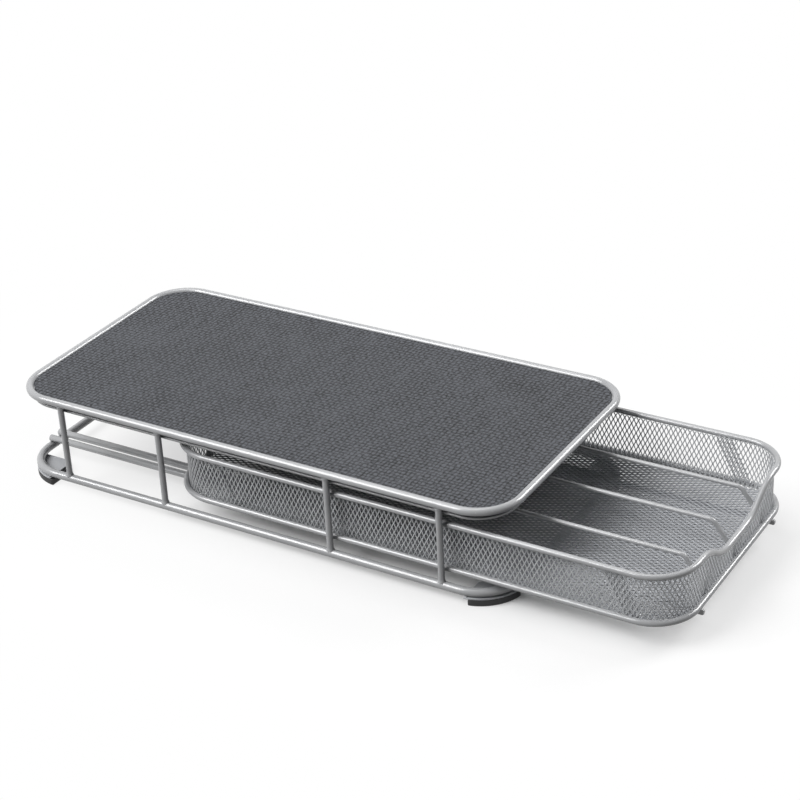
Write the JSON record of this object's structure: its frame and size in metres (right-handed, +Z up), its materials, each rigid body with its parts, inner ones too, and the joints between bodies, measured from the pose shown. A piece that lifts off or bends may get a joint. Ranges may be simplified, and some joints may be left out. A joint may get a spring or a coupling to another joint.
{
  "type": "coffee pod drawer",
  "caption": "Wire stand with a flat mat on top for a coffee machine, and a shallow mesh basket below that slides out on rails.",
  "frame": {"origin": "on the resting surface, under the middle of the whole object's box with the basket open as stored", "axes": "+Z up, +X the way the basket opens, +Y across the stand to the far side"},
  "size_m": [0.521, 0.2004, 0.0726],
  "materials": {
    "wire": "satin silver",
    "mesh": "satin silver",
    "sheet_steel": "satin silver",
    "black_sheet": "matt black",
    "mat": "fine woven grain",
    "foot_rubber": "matt"
  },
  "bodies": {
    "stand": {"top_rim": "wire", "support_wire": "wire", "top_tray": "black_sheet", "top_mat": "mat", "base_loop": "wire", "post_near_1": "wire", "post_near_2": "wire", "post_near_3": "wire", "post_near_4": "wire", "post_far_1": "wire", "post_far_2": "wire", "post_far_3": "wire", "post_far_4": "wire", "rail_near_outer": "wire", "rail_near_inner": "wire", "rail_far_inner": "wire", "rail_far_outer": "wire", "plate_back_near": "sheet_steel", "plate_back_far": "sheet_steel", "plate_front_near": "sheet_steel", "plate_front_far": "sheet_steel", "foot_back_near": "foot_rubber", "foot_back_far": "foot_rubber", "foot_front_near": "foot_rubber", "foot_front_far": "foot_rubber"},
    "basket": {"basket_top_rim": "wire", "basket_bottom_rim": "wire", "mesh_near": "mesh", "mesh_far": "mesh", "mesh_front": "mesh", "mesh_back": "mesh", "mesh_floor": "mesh", "divider_near": "wire", "divider_mid": "wire", "divider_far": "wire", "runner_near": "wire", "runner_far": "wire"}
  },
  "joints": [
    {"name": "basket_slide", "type": "slide", "parent": "stand", "child": "basket", "axis": [1, 0, 0], "range_m": [-0.1205, 0.15]}
  ]
}
